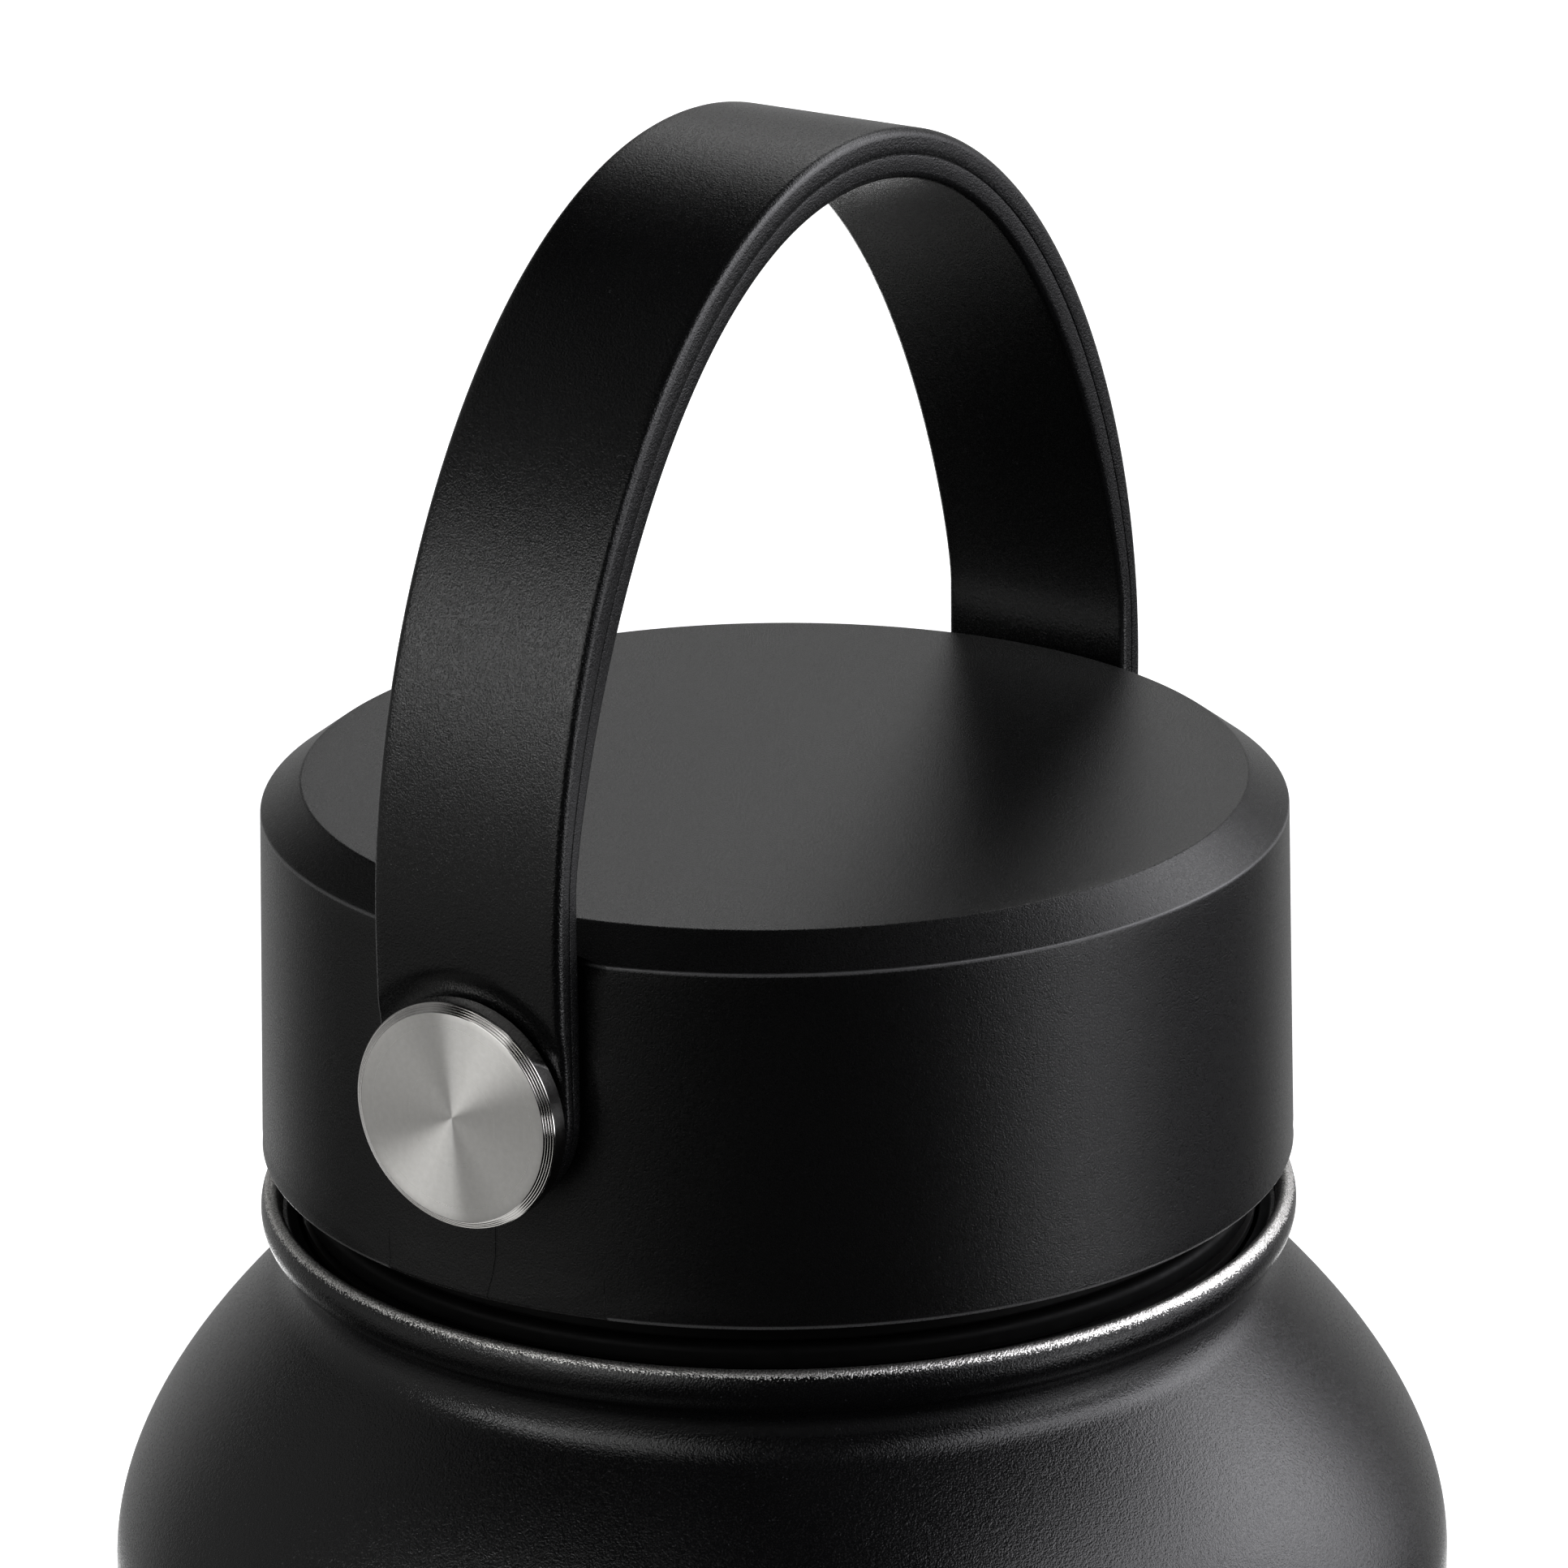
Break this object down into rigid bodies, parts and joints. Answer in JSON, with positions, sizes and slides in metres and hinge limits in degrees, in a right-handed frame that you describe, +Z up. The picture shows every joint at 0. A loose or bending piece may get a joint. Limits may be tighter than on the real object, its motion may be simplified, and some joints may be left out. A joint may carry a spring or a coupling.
{
  "type": "insulated water bottle",
  "caption": "Wide-mouth vacuum insulated water bottle with a powder coated steel body, a screw lid with a gasket, and a flexible strap handle that swings on two steel pins",
  "frame": {"origin": "centre of the circle that the bottle stands on, at the underside of its foot ring", "axes": "+Z up along the bottle's axis; X along the handle's pins; Y along the way that the handle swings"},
  "size_m": [0.0904, 0.0904, 0.2757],
  "materials": {
    "powder_coat": "satin fine-texture black powder coat",
    "stainless_brushed": "brushed",
    "stainless_drawn": "drawn, satin",
    "lid_plastic": "fine matt texture",
    "plug_plastic": "gloss",
    "silicone": "smooth",
    "strap_elastomer": "fine matt texture",
    "foam": "foamed",
    "acetal": "smooth",
    "brass": "turned",
    "getter_metal": "sintered",
    "solder": "fused"
  },
  "bodies": {
    "bottle": {"outer_shell": "powder_coat", "inner_wall": "stainless_drawn", "inner_bottom": "stainless_drawn", "base_plate": "stainless_brushed", "base_cover": "stainless_brushed", "vacuum_seal_plug": "solder", "getter": "getter_metal"},
    "lid_rise": {"lid_gasket": "silicone"},
    "lid": {"cap_shell": "lid_plastic", "threaded_plug": "plug_plastic", "foam_core": "foam", "pivot_pin_left": "stainless_brushed", "pivot_pin_right": "stainless_brushed", "pin_insert_left": "brass", "pin_insert_right": "brass", "spring_washer_left": "stainless_drawn", "spring_washer_right": "stainless_drawn"},
    "handle": {"strap_handle": "strap_elastomer", "strap_bush_left": "acetal", "strap_bush_right": "acetal"}
  },
  "joints": [
    {"name": "lid_lift", "type": "slide", "parent": "bottle", "child": "lid_rise", "axis": [0, 0, 1], "range_m": [0, 0.026]},
    {"name": "lid_turn", "type": "hinge", "parent": "lid_rise", "child": "lid", "pos_m": [0, 0, 0.206], "axis": [0, 0, 1], "range_deg": [0, 2339.5]},
    {"name": "handle_swing", "type": "hinge", "parent": "lid", "child": "handle", "pos_m": [0, 0, 0.21992], "axis": [1, 0, 0], "range_deg": [-110, 110]}
  ],
  "couplings": [
    {"joint": "lid_lift", "follows": "lid_turn", "m_per_rad": 0.00063662}
  ]
}
